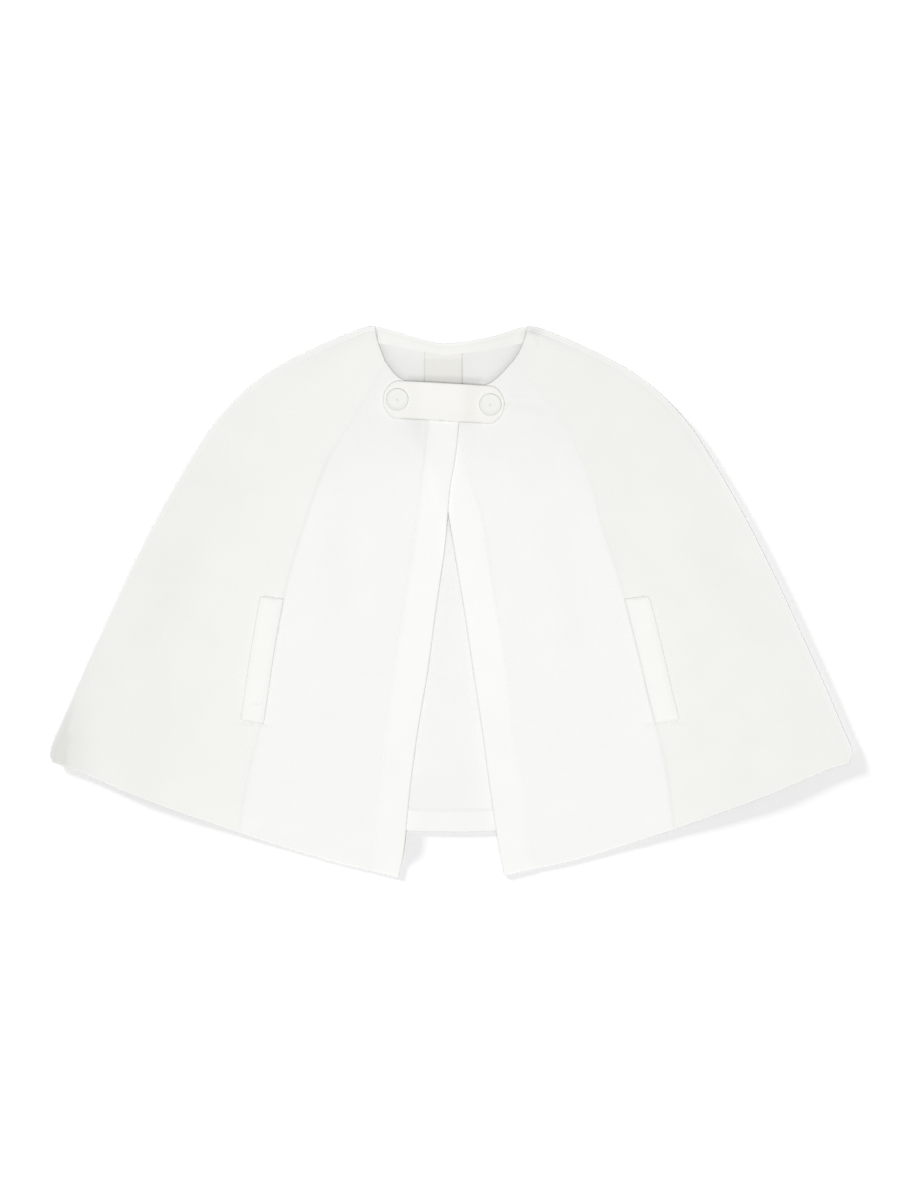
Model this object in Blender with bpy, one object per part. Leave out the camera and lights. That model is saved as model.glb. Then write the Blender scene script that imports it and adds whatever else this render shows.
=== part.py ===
"""A child's cape of smooth off-white wool coating, buttoned at the neck and laid flat on its back.

The part lies on the XY plane with +Z up. +Y points to the neck and +X to the wearer's left, so the
wearer's right front, which laps over the left one, is on the -X side. The origin is on the surface
that the cape lies on, under the middle of its box. Tables and sizes are in millimetres, and points
become metres where a mesh is made.
"""

import math

import bmesh
import bpy
import numpy as np

MM = 0.001

# Cloth and seams
CLOTH = 2.4
BAND_CLOTH = 2.8
TAB_CLOTH = 3.0
WELT_CLOTH = 2.6
FACING_CLOTH = 1.0
LABEL_CLOTH = 0.8
SEAM_GAP = 0.3
LAY_GAP = 0.3
RIM_WIDTH = 1.6
RIM_DROP = 0.7
SHARP_ANGLE = math.radians(35)

# Heights of the layers as they lie
FRONT_Z = 4.2
FOLD_Z = 4.0
SIDE_DOME = 1.6
LAP_GAP = 0.6
LAP_EASE = 14.0
TAB_LEAD = 1.0
TAB_EASE = 17.0
FOLD_STEPS = 6
FOLD_RADIUS = (FOLD_Z + CLOTH) / 2
SEAM_INSET = 4.2
DRAPE = 25.0
DRAPE_START = 3.0

# Widths across which the rims and the steps of a grid are shared out
LONG_ROW = 392.0
SIDE_WIDTH = 130.0
FRONT_WIDTH = 112.0
BAND_WIDTH = 25.0

# Sizes of the small pieces
WELT_WIDTH = {"right": 18.6, "left": 19.6}
WELT_OVERLAP = {"right": 1.6, "left": 0.0}
WELT_TOP = 2.4
WELT_BOTTOM = -97.4
WELT_SLANT = 2.4
TAB_LENGTH = 97.0
TAB_STEPS = 16
TAB_CENTRE = (-5.8, 159.6)
TAB_TURN = math.radians(-3.2)
BUTTON_RADIUS = 8.8
BUTTON_HEIGHT = 3.2
BUTTON_OUT = 37.2
NECK_FACING_DEPTH = 8.4
HEM_FACING_DEPTH = 18.0
FACING_INSET = 0.6
NECK_FACING_END = (56.0, 218.4)
NECK_FACING_SPREAD = 3.6
HEM_FACING_HALF = 150.0
LABEL_LEFT = -21.6
LABEL_RIGHT = 9.2
LABEL_BOTTOM = 169.0

# The back hem is a shallow curve that meets the side folds at the fronts' corners
BACK_HEM_Y = -184.0
BACK_HEM_RISE = 64.0
HALF_WIDTH = 321.0

# The fold at each side, which is the outline of the cape: (out, up)
SIDE_FOLD = [
    (60.6, 220.4),
    (72.8, 218.2),
    (104.8, 204.8),
    (136.8, 188.8),
    (161.6, 171.6),
    (184.8, 148.4),
    (202.4, 124.0),
    (230.4, 76.0),
    (255.2, 28.0),
    (277.6, -20.0),
    (299.2, -68.0),
    (313.4, -101.0),
    (318.8, -113.0),
    (321.0, -122.0),
]

# The fold's inner points lean down along the last stretch to the hem, which rounds the corner
CORNER_LEAN = 1.35
CORNER_LENGTH = 24.0

# The seams from the neck over each breast to the hem: (out, up)
FRONT_SEAM = {
    "right": [
        (52.8, 192.8),
        (60.8, 177.6),
        (79.2, 145.6),
        (96.8, 116.8),
        (108.4, 88.0),
        (116.0, 65.6),
        (130.4, 17.6),
        (142.4, -42.4),
        (151.2, -96.0),
        (161.6, -138.4),
        (169.6, -184.4),
    ],
    "left": [
        (49.6, 192.8),
        (62.0, 177.0),
        (85.6, 149.6),
        (104.0, 113.6),
        (112.8, 89.6),
        (118.8, 65.6),
        (134.4, 17.6),
        (147.2, -30.4),
        (158.4, -78.4),
        (170.4, -126.4),
        (178.4, -181.6),
    ],
}

# The front edges and the seams of the front bands: (across, up)
FRONT_EDGE = {
    "right": [
        (8.8, 171.2),
        (6.4, 142.4),
        (3.2, 113.6),
        (-0.8, 89.6),
        (-5.2, 41.6),
        (-12.0, -6.4),
        (-18.4, -54.4),
        (-26.4, -102.4),
        (-32.8, -150.4),
        (-37.6, -198.4),
        (-42.0, -220.0),
    ],
    "left": [
        (-20.8, 171.2),
        (-20.0, 145.6),
        (-16.0, 121.6),
        (-5.2, 84.0),
        (2.4, 41.6),
        (10.4, -6.4),
        (17.6, -54.4),
        (24.8, -102.4),
        (31.2, -150.4),
        (38.4, -198.4),
        (42.4, -219.0),
    ],
}
BAND_SEAM = {
    "right": [
        (-16.8, 171.6),
        (-19.2, 142.4),
        (-22.4, 113.6),
        (-27.2, 65.6),
        (-30.4, 41.6),
        (-37.6, -6.4),
        (-44.8, -54.4),
        (-51.6, -102.4),
        (-56.0, -150.4),
        (-63.2, -215.2),
    ],
    "left": [
        (2.0, 171.2),
        (3.6, 145.6),
        (7.6, 121.6),
        (19.6, 85.6),
        (25.6, 65.6),
        (36.8, -6.4),
        (44.0, -54.4),
        (49.6, -102.4),
        (56.0, -150.4),
        (64.8, -213.6),
    ],
}

# Points of the neckline and the hem between those seams: (across, up)
BACK_NECK = [
    (-53.0, 218.6),
    (-40.8, 215.2),
    (-24.8, 210.4),
    (-8.0, 206.8),
    (7.2, 207.6),
    (23.2, 210.2),
    (39.2, 214.0),
    (53.0, 218.6),
]
SIDE_NECK = {
    "right": [(-59.6, 213.0), (-57.6, 205.6)],
    "left": [(58.4, 209.6), (54.4, 200.0)],
}
FRONT_NECK = {
    "right": [(-44.8, 182.4), (-36.8, 176.8), (-26.4, 172.8)],
    "left": [(39.2, 181.6), (31.2, 175.2), (20.8, 171.8)],
}
SIDE_HEM = [(217.0, -168.0), (257.0, -153.0), (297.0, -135.6)]
FRONT_HEM = [(97.0, -207.0), (137.0, -195.0)]

# Half the width of the tab at a distance from its end: (from_end, half_width)
TAB_END = [
    (0.0, 2.8),
    (0.8, 5.4),
    (2.2, 8.3),
    (4.2, 11.0),
    (6.6, 13.4),
    (9.2, 14.8),
    (12.0, 15.2),
]

# The turned profile of a button, from its underside to its middle: (radius, up)
BUTTON_PROFILE = [
    (0.84, 0.0),
    (0.97, 0.22),
    (1.0, 0.48),
    (0.96, 0.78),
    (0.88, 0.95),
    (0.80, 1.0),
    (0.72, 0.93),
    (0.30, 0.97),
    (0.10, 0.95),
    (0.05, 0.84),
]
BUTTON_SIDES = 24

# Colours: base colour, roughness
OUTER_WOOL = ((0.86, 0.85, 0.81), 0.9)
SIDE_WOOL = ((0.83, 0.83, 0.78), 0.9)
INNER_WOOL = ((0.80, 0.80, 0.76), 0.9)
LABEL_SATIN = ((0.78, 0.79, 0.75), 0.6)
BUTTON_SHELL = ((0.82, 0.83, 0.79), 0.45)

SIDES = {"right": -1.0, "left": 1.0}


def smooth_step(value):
    """An even rise from 0 to 1."""
    share = np.clip(value, 0.0, 1.0)
    return share * share * (3.0 - 2.0 * share)


def smooth_curve(points, per_span=16):
    """A dense line through the points of a table, rounded as cloth is between them."""
    knots = np.array(points, dtype=float)
    ends = np.vstack([2 * knots[0] - knots[1], knots, 2 * knots[-1] - knots[-2]])
    line = []
    for start in range(len(knots) - 1):
        before, here, there, after = ends[start:start + 4]
        for step in range(per_span):
            t = step / per_span
            line.append(
                0.5 * (
                    2 * here
                    + (there - before) * t
                    + (2 * before - 5 * here + 4 * there - after) * t ** 2
                    + (3 * here - before - 3 * there + after) * t ** 3
                )
            )
    line.append(knots[-1])
    return np.array(line)


def along(points, shares):
    """Points at the given shares of the length of a smooth curve."""
    line = smooth_curve(points)
    lengths = np.concatenate([[0.0], np.cumsum(np.linalg.norm(np.diff(line, axis=0), axis=1))])
    wanted = np.array(shares) * lengths[-1]
    return np.column_stack([np.interp(wanted, lengths, line[:, axis]) for axis in (0, 1)])


def steps(*stretches):
    """Rising shares from 0 to 1: each stretch gives the share that it ends at and its steps."""
    shares = [0.0]
    for end, count in stretches:
        start = shares[-1]
        shares += [start + (end - start) * step / count for step in range(1, count + 1)]
    return np.array(shares)


def rimmed(width, count, *closer):
    """Shares across a width with a narrow rim at both ends, and closer steps first where asked."""
    rim = RIM_WIDTH / width
    return steps((rim, 1), *closer, (1.0 - rim, count), (1.0, 1))


def long_rows():
    """The rows of every piece that runs from neck to hem, so that seams match point for point.

    They are closer where the fronts lap, and where they fall from the back hem to the table.
    """
    return rimmed(LONG_ROW, 3, (0.30, 11), (0.86, 7), (0.94, 3))


def mirrored(points, side):
    """A table of (out, up) as (across, up) on one side."""
    return [(SIDES[side] * out, up) for out, up in points]


def shifted(points, across):
    """A line moved across by half a seam."""
    return [(x + across, y) for x, y in points]


def across_at(points, up):
    """Where a line that runs down the cape is at a height, as a distance across."""
    line = smooth_curve(points)[::-1]
    return np.interp(up, line[:, 1], line[:, 0])


def patch(first, last, top, bottom, columns, rows):
    """Rows of plan points that fill the space between two seams, a neckline and a hem.

    first and last run down the cape; top and bottom hold the points between their ends.
    """
    left = along(first, rows)
    right = along(last, rows)
    upper = along([left[0], *top, right[0]], columns)
    lower = along([left[-1], *bottom, right[-1]], columns)
    u = columns[None, :, None]
    v = rows[:, None, None]
    between_seams = (1 - u) * left[:, None] + u * right[:, None]
    between_ends = (1 - v) * upper[None] + v * lower[None]
    corners = (1 - v) * ((1 - u) * upper[0] + u * upper[-1]) + v * ((1 - u) * lower[0] + u * lower[-1])
    return between_seams + between_ends - corners


def back_hem_up(across):
    """Where the back hem is, at a distance across."""
    return BACK_HEM_Y + BACK_HEM_RISE * (across / HALF_WIDTH) ** 2


def drape_share(across, up):
    """How much of its height the front still has past the back hem, where it falls to the table."""
    return 1.0 - smooth_step((back_hem_up(across) - up - DRAPE_START) / DRAPE)


def front_under(across, up):
    """The underside of the front as it lies on the back."""
    return FRONT_Z * drape_share(across, up)


def lapped_under(across, up):
    """The underside of the right front, which rises over the left front's edge."""
    edge = across_at(FRONT_EDGE["left"], up)
    lift = BAND_CLOTH + LAP_GAP
    return front_under(across, up) + lift * smooth_step((across - edge + LAP_EASE) / LAP_EASE)


def side_under(side):
    """The underside of a side panel: a low dome from the front seam to the fold."""
    def under(across, up):
        out = np.abs(across)
        inner = across_at(FRONT_SEAM[side], up)
        outer = across_at(SIDE_FOLD, up) - SEAM_INSET
        share = np.clip((out - inner) / np.maximum(outer - inner, 1.0), 0.0, 1.0)
        rest = FRONT_Z + (FOLD_Z - FRONT_Z) * smooth_step(share)
        return (rest + SIDE_DOME * np.sin(math.pi * share) ** 2) * drape_share(across, up)

    return under


def tab_under(across, up):
    """The underside of the tab: over both laps in the middle, down on each front at its ends."""
    rise = smooth_step((across - across_at(FRONT_EDGE["left"], up) + TAB_EASE + TAB_LEAD) / TAB_EASE)
    fall = smooth_step((across_at(FRONT_EDGE["right"], up) + TAB_EASE - across) / TAB_EASE)
    laps = (BAND_CLOTH + LAP_GAP) * np.minimum(rise, fall)
    return FRONT_Z + BAND_CLOTH + LAY_GAP + laps


def raised(plan, under, cloth):
    """The lower and upper points of a flat wall; its rim is pressed down to a rounded edge."""
    low = np.asarray(under(plan[..., 0], plan[..., 1])) * np.ones(plan.shape[:2])
    high = low + cloth
    rim = np.ones(plan.shape[:2], dtype=bool)
    rim[1:-1, 1:-1] = False
    high[rim] -= RIM_DROP * min(1.0, cloth / CLOTH)
    return np.dstack([plan, low]), np.dstack([plan, high])


def material(name, look):
    """A plain surface in one colour."""
    colour, roughness = look
    made = bpy.data.materials.new(name)
    made.use_nodes = True
    shader = made.node_tree.nodes["Principled BSDF"]
    shader.inputs["Base Color"].default_value = (*colour, 1.0)
    shader.inputs["Roughness"].default_value = roughness
    shader.inputs["Metallic"].default_value = 0.0
    made.diffuse_color = (*colour, 1.0)
    return made


def add_object(name, shape, look):
    """An object from a bmesh, its faces pointing out and shaded smooth."""
    bmesh.ops.recalc_face_normals(shape, faces=shape.faces[:])
    mesh = bpy.data.meshes.new(name)
    shape.to_mesh(mesh)
    shape.free()
    mesh.shade_smooth()
    mesh.set_sharp_from_angle(angle=SHARP_ANGLE)
    mesh.materials.append(material(name, look))
    made = bpy.data.objects.new(name, mesh)
    bpy.context.scene.collection.objects.link(made)
    return made


def wall(name, inner, outer, look):
    """A closed wall between two grids of points, with a strip of faces all round its edge."""
    rows, columns = inner.shape[:2]
    shape = bmesh.new()
    inside = [[shape.verts.new(point * MM) for point in row] for row in inner]
    outside = [[shape.verts.new(point * MM) for point in row] for row in outer]
    for i in range(rows - 1):
        for j in range(columns - 1):
            for grid in (inside, outside):
                shape.faces.new((grid[i][j], grid[i][j + 1], grid[i + 1][j + 1], grid[i + 1][j]))
    border = [(0, j) for j in range(columns)]
    border += [(i, columns - 1) for i in range(1, rows)]
    border += [(rows - 1, j) for j in range(columns - 2, -1, -1)]
    border += [(i, 0) for i in range(rows - 2, 0, -1)]
    for (i, j), (k, m) in zip(border, border[1:] + border[:1]):
        shape.faces.new((inside[i][j], inside[k][m], outside[k][m], outside[i][j]))
    return add_object(name, shape, look)


def panel(name, plan, under, cloth, look):
    """A flat piece of cloth over a height that is worked out from its plan points."""
    low, high = raised(plan, under, cloth)
    return wall(name, low, high, look)


def fold_frame(rows):
    """Points of the side fold and the directions straight out of it, at shares of its length."""
    points = along(SIDE_FOLD, rows)
    nudge = RIM_WIDTH / LONG_ROW
    ahead = along(SIDE_FOLD, np.minimum(rows + nudge, 1.0))
    behind = along(SIDE_FOLD, np.maximum(rows - nudge, 0.0))
    run = ahead - behind
    run /= np.linalg.norm(run, axis=1)[:, None]
    outward = np.column_stack([-run[:, 1], run[:, 0]])
    return points, outward


def fold_line(side, rows, inset, lean=CORNER_LEAN):
    """A line along the side fold, moved in from it, as (across, up)."""
    points, outward = fold_frame(rows)
    to_end = (1.0 - rows) * LONG_ROW
    slide = lean * inset * (1.0 - smooth_step(to_end / CORNER_LENGTH))
    down = np.column_stack([outward[:, 1], -outward[:, 0]])
    return mirrored(points - outward * inset + down * slide[:, None], side)


def fold_rings(side, rows):
    """Columns of the back's wall round one side fold, from under it to its seam on the front.

    Each is a pair of lines, on the inside and on the outside of the fold.
    """
    at_end = np.zeros(len(rows))
    at_end[[0, -1]] = RIM_DROP
    rings = []
    for turn in range(1, FOLD_STEPS + 1):
        angle = math.pi * (turn / FOLD_STEPS - 0.5)
        lean = CORNER_LEAN if angle > 0 else 0.0
        pair = []
        for reach in (np.full(len(rows), FOLD_RADIUS - CLOTH), FOLD_RADIUS - at_end):
            plan = [
                fold_line(side, rows[[row]], FOLD_RADIUS - reach[row] * math.cos(angle), lean)[0]
                for row in range(len(rows))
            ]
            pair.append(np.column_stack([plan, FOLD_RADIUS + reach * math.sin(angle)]))
        rings.append(pair)
    plan = fold_line(side, rows, SEAM_INSET)
    top = np.full(len(rows), FOLD_Z + CLOTH - RIM_DROP)
    rings.append([np.column_stack([plan, np.full(len(rows), FOLD_Z)]), np.column_stack([plan, top])])
    return rings


def make_back():
    """The back, flat on the table, which wraps up round each side fold to a seam on the front."""
    rows = long_rows()
    leaf = patch(
        fold_line("right", rows, FOLD_RADIUS, 0.0),
        fold_line("left", rows, FOLD_RADIUS, 0.0),
        BACK_NECK,
        [(across, back_hem_up(across)) for across in (-HALF_WIDTH / 2, 0.0, HALF_WIDTH / 2)],
        steps((1.0, 12)),
        rows,
    )
    right = fold_rings("right", rows)[::-1]
    left = fold_rings("left", rows)
    inner = [ring[0][:, None] for ring in right]
    inner += [np.dstack([leaf, np.full(leaf.shape[:2], CLOTH)])]
    inner += [ring[0][:, None] for ring in left]
    outer = [ring[1][:, None] for ring in right]
    outer += [np.dstack([leaf, np.zeros(leaf.shape[:2])])]
    outer += [ring[1][:, None] for ring in left]
    wall("back_panel", np.hstack(inner), np.hstack(outer), INNER_WOOL)


def make_side(side):
    """One side panel, from the front seam out to the seam just inside the fold."""
    sign = SIDES[side]
    rows = long_rows()
    plan = patch(
        shifted(mirrored(FRONT_SEAM[side], side), sign * SEAM_GAP / 2),
        fold_line(side, rows, SEAM_INSET + SEAM_GAP),
        SIDE_NECK[side][::-1],
        mirrored(SIDE_HEM, side),
        rimmed(SIDE_WIDTH, 8),
        rows,
    )
    panel(f"side_panel_{side}", plan, side_under(side), CLOTH, SIDE_WOOL)


def make_front(side):
    """One front, between its band and the seam over the breast."""
    sign = SIDES[side]
    half = SEAM_GAP / 2
    plan = patch(
        shifted(BAND_SEAM[side], sign * half),
        shifted(mirrored(FRONT_SEAM[side], side), -sign * half),
        FRONT_NECK[side][::-1],
        mirrored(FRONT_HEM, side),
        rimmed(FRONT_WIDTH, 6, (0.16, 4)),
        long_rows(),
    )
    under = lapped_under if side == "right" else front_under
    panel(f"front_panel_{side}", plan, under, CLOTH, OUTER_WOOL)


def make_band(side):
    """One front band, from the front edge to its seam."""
    sign = SIDES[side]
    plan = patch(
        FRONT_EDGE[side],
        shifted(BAND_SEAM[side], -sign * SEAM_GAP / 2),
        [],
        [],
        rimmed(BAND_WIDTH, 5),
        long_rows(),
    )
    under = lapped_under if side == "right" else front_under
    panel(f"front_band_{side}", plan, under, BAND_CLOTH, OUTER_WOOL)


def make_welt(side):
    """The welt of a hand slit, laid on the side panel along the front seam."""
    sign = SIDES[side]
    seam = mirrored(FRONT_SEAM[side], side)
    width = WELT_WIDTH[side]
    inner_edge = []
    for share in np.linspace(0.0, 1.0, 5):
        up = WELT_TOP + (WELT_BOTTOM - WELT_TOP) * share
        inset = SEAM_GAP - WELT_OVERLAP[side] * share
        inner_edge.append((float(across_at(seam, up)) + sign * inset, up))
    outer_edge = [(across + sign * width, up + WELT_SLANT) for across, up in inner_edge]
    plan = patch(
        inner_edge,
        outer_edge,
        [],
        [],
        rimmed(width, 3),
        rimmed(WELT_TOP - WELT_BOTTOM, 8),
    )
    under = side_under(side)
    panel(
        f"welt_{side}",
        plan,
        lambda across, up: under(across, up) + CLOTH + LAY_GAP,
        WELT_CLOTH,
        OUTER_WOOL,
    )


def tab_point(length_along, across):
    """A point of the tab on the plan, from its middle."""
    x = TAB_CENTRE[0] + length_along * math.cos(TAB_TURN) - across * math.sin(TAB_TURN)
    y = TAB_CENTRE[1] + length_along * math.sin(TAB_TURN) + across * math.cos(TAB_TURN)
    return x, y


def make_tab():
    """The tab that holds the fronts together at the neck, its corners cut away."""
    from_end, half_width = zip(*TAB_END)
    half = TAB_LENGTH / 2
    end_lengths = [-half + distance for distance in from_end]
    middle = list(np.linspace(-half + from_end[-1], half - from_end[-1], TAB_STEPS + 1)[1:-1])
    lengths = end_lengths + middle + [-length for length in reversed(end_lengths)]
    shares = rimmed(2 * half_width[-1], 5) * 2 - 1
    plan = np.array([
        [tab_point(length, share * np.interp(half - abs(length), from_end, half_width)) for length in lengths]
        for share in shares
    ])
    panel("neck_tab", plan, tab_under, TAB_CLOTH, OUTER_WOOL)


def make_button(side):
    """A round button with a soft rim, sewn on over one end of the tab."""
    across, up = tab_point(SIDES[side] * BUTTON_OUT, 0.0)
    reach = BUTTON_RADIUS * BUTTON_PROFILE[0][0]
    around = [across - reach, across, across + reach]
    base = max(float(tab_under(x, up)) for x in around) + TAB_CLOTH + LAY_GAP
    shape = bmesh.new()
    rings = []
    for radius_share, height_share in BUTTON_PROFILE:
        radius = BUTTON_RADIUS * radius_share
        height = base + BUTTON_HEIGHT * height_share
        ring = []
        for corner in range(BUTTON_SIDES):
            angle = 2 * math.pi * corner / BUTTON_SIDES
            x = across + radius * math.cos(angle)
            y = up + radius * math.sin(angle)
            ring.append(shape.verts.new((x * MM, y * MM, height * MM)))
        rings.append(ring)
    for lower, upper in zip(rings, rings[1:]):
        for corner in range(BUTTON_SIDES):
            after = (corner + 1) % BUTTON_SIDES
            shape.faces.new((lower[corner], lower[after], upper[after], upper[corner]))
    shape.faces.new(rings[0][::-1])
    shape.faces.new(rings[-1])
    add_object(f"button_{side}", shape, BUTTON_SHELL)


def lowered(line, depth):
    """A line moved down the cape."""
    return [(across, up - depth) for across, up in line]


def facing_line():
    """The back neckline, to just short of the folds at its ends."""
    end, up = NECK_FACING_END
    return [(-end, up), *BACK_NECK[1:-1], (end, up)]


def facing_end_line():
    """The lower edge of the neck facing, which is deeper at the shoulders."""
    end = NECK_FACING_END[0]
    depth = FACING_INSET + NECK_FACING_DEPTH
    return [(across, up - depth - NECK_FACING_SPREAD * (across / end) ** 2) for across, up in facing_line()]


def inner_strip(name, upper, lower, depth, ends):
    """A thin strip on the inside of the back, between two lines."""
    plan = patch(upper, lower, [], [], rimmed(depth, 2), rimmed(*ends))
    panel(name, plan, lambda across, up: CLOTH + LAY_GAP, FACING_CLOTH, INNER_WOOL)


def make_neck_facing():
    """The strip that finishes the back neck on its inside."""
    line = lowered(facing_line(), FACING_INSET)
    ends = (2 * NECK_FACING_END[0], 16)
    inner_strip("back_neck_facing", line, facing_end_line(), NECK_FACING_DEPTH, ends)


def make_label():
    """The bare label under the facing."""
    line = smooth_curve(lowered(facing_end_line(), SEAM_GAP))
    places = (LABEL_LEFT, (LABEL_LEFT + LABEL_RIGHT) / 2, LABEL_RIGHT)
    left, middle, right = [(x, float(np.interp(x, line[:, 0], line[:, 1]))) for x in places]
    plan = patch(
        [left, (LABEL_LEFT, LABEL_BOTTOM)],
        [right, (LABEL_RIGHT, LABEL_BOTTOM)],
        [middle],
        [],
        rimmed(LABEL_RIGHT - LABEL_LEFT, 4),
        rimmed(left[1] - LABEL_BOTTOM, 3),
    )
    panel("neck_label", plan, lambda across, up: CLOTH + LAY_GAP, LABEL_CLOTH, LABEL_SATIN)


def make_hem_facing():
    """The turned-up strip that finishes the back hem on its inside."""
    across = np.linspace(-HEM_FACING_HALF, HEM_FACING_HALF, 5)
    hem = list(zip(across, back_hem_up(across)))
    line = lowered(hem, -HEM_FACING_DEPTH - FACING_INSET)
    ends = (2 * HEM_FACING_HALF, 12)
    inner_strip("back_hem_facing", line, lowered(line, HEM_FACING_DEPTH), HEM_FACING_DEPTH, ends)


def main():
    """The whole cape."""
    for old in list(bpy.data.objects):
        bpy.data.objects.remove(old, do_unlink=True)
    make_back()
    make_neck_facing()
    make_label()
    make_hem_facing()
    for side in SIDES:
        make_side(side)
        make_front(side)
        make_band(side)
        make_welt(side)
    make_tab()
    for side in SIDES:
        make_button(side)


main()
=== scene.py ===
"""The looks of a child's off-white wool cape, buttoned at the neck and laid flat on its back.

Every piece of cloth is a fine shell on the form of its solid, with rounded edges, seams and the
creases that the cloth has where it lies. Tables and sizes are in millimetres on the plan of the
cape: across grows to the wearer's left, up to the neck, and out is a distance from the middle.
"""

import math

import bmesh
import bpy
import numpy as np
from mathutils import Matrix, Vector, noise

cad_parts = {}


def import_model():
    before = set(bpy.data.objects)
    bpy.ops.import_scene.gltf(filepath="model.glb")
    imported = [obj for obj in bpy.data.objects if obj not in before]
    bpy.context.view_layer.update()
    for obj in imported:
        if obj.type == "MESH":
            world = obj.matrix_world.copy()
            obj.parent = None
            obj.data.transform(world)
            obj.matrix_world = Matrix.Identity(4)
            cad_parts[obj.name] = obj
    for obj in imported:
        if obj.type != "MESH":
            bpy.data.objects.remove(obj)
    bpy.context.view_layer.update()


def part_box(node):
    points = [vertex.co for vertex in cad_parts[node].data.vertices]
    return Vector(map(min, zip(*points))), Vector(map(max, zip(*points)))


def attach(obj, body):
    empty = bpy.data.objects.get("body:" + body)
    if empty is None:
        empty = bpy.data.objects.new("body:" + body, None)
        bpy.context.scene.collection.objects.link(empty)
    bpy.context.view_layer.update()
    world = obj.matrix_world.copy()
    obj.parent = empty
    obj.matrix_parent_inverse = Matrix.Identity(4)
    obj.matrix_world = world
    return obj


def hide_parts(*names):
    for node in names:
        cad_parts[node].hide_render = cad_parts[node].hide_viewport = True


MM = 0.001

# Cloth, seams and heights, as in the solids
CLOTH = 2.4
BAND_CLOTH = 2.8
TAB_CLOTH = 3.0
WELT_CLOTH = 2.6
FACING_CLOTH = 1.0
LABEL_CLOTH = 0.8
LAY_GAP = 0.3
FRONT_Z = 4.2
FOLD_Z = 4.0
FOLD_RADIUS = (FOLD_Z + CLOTH) / 2
FOLD_SQUARENESS = 0.5
SEAM_INSET = 4.2
SIDE_DOME = 1.6
LAP_GAP = 0.6
LAP_EASE = 14.0
TAB_LEAD = 1.0
TAB_EASE = 17.0
DRAPE = 25.0
DRAPE_START = 3.0

# Sizes of the small pieces, as in the solids
WELT_WIDTH = {"right": 18.6, "left": 19.6}
WELT_OVERLAP = {"right": 1.6, "left": 0.0}
WELT_TOP = 2.4
WELT_BOTTOM = -97.4
WELT_SLANT = 2.4
WELT_CORNER = 3.0
WELT_SHARES = (0.0, 0.012, 0.035, 0.28, 0.52, 0.76, 0.965, 0.988, 1.0)
TAB_LENGTH = 97.0
TAB_STRAIGHT = 30.0
TAB_HALF = 15.2
TAB_CENTRE = (-5.8, 159.6)
TAB_TURN = math.radians(-3.2)
NECK_FACING_DEPTH = 8.4
HEM_FACING_DEPTH = 18.0
FACING_INSET = 0.6
NECK_FACING_SPREAD = 4.0
NECK_HALF = 58.0
HEM_FACING_HALF = 150.0
LABEL_LEFT = -21.6
LABEL_RIGHT = 9.2
LABEL_BOTTOM = 169.0
LABEL_STEEPNESS = 1.5
LABEL_CURL_REACH = 3.0
STRIP_GAP = 0.1
BACK_HEM_Y = -184.0
BACK_HEM_RISE = 64.0
HALF_WIDTH = 321.0

# The fold at each side, which is the outline of the cape: (out, up)
SIDE_FOLD = [
    (60.6, 220.4), (72.8, 218.2), (104.8, 204.8), (136.8, 188.8), (161.6, 171.6), (184.8, 148.4),
    (202.4, 124.0), (230.4, 76.0), (255.2, 28.0), (277.6, -20.0), (299.2, -68.0), (313.4, -101.0),
    (318.8, -113.0), (321.0, -122.0),
]
CORNER_LEAN = 1.35
CORNER_LENGTH = 24.0

# The seams from the neck over each breast to the hem: (out, up)
FRONT_SEAM = {
    "right": [
        (52.8, 192.8), (60.8, 177.6), (79.2, 145.6), (96.8, 116.8), (108.4, 88.0), (116.0, 65.6),
        (130.4, 17.6), (142.4, -42.4), (151.2, -96.0), (161.6, -138.4), (169.6, -184.4),
    ],
    "left": [
        (49.6, 192.8), (62.0, 177.0), (85.6, 149.6), (104.0, 113.6), (112.8, 89.6), (118.8, 65.6),
        (134.4, 17.6), (147.2, -30.4), (158.4, -78.4), (170.4, -126.4), (178.4, -181.6),
    ],
}

# The front edges and the seams of the front bands: (across, up)
FRONT_EDGE = {
    "right": [
        (8.8, 171.2), (6.4, 142.4), (3.2, 113.6), (-0.8, 89.6), (-5.2, 41.6), (-12.0, -6.4),
        (-18.4, -54.4), (-26.4, -102.4), (-32.8, -150.4), (-37.6, -198.4), (-42.0, -220.0),
    ],
    "left": [
        (-20.8, 171.2), (-20.0, 145.6), (-16.0, 121.6), (-5.2, 84.0), (2.4, 41.6), (10.4, -6.4),
        (17.6, -54.4), (24.8, -102.4), (31.2, -150.4), (38.4, -198.4), (42.4, -219.0),
    ],
}
BAND_SEAM = {
    "right": [
        (-16.8, 171.6), (-19.2, 142.4), (-22.4, 113.6), (-27.2, 65.6), (-30.4, 41.6), (-37.6, -6.4),
        (-44.8, -54.4), (-51.6, -102.4), (-56.0, -150.4), (-63.2, -215.2),
    ],
    "left": [
        (2.0, 171.2), (3.6, 145.6), (7.6, 121.6), (19.6, 85.6), (25.6, 65.6), (36.8, -6.4),
        (44.0, -54.4), (49.6, -102.4), (56.0, -150.4), (64.8, -213.6),
    ],
}

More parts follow.
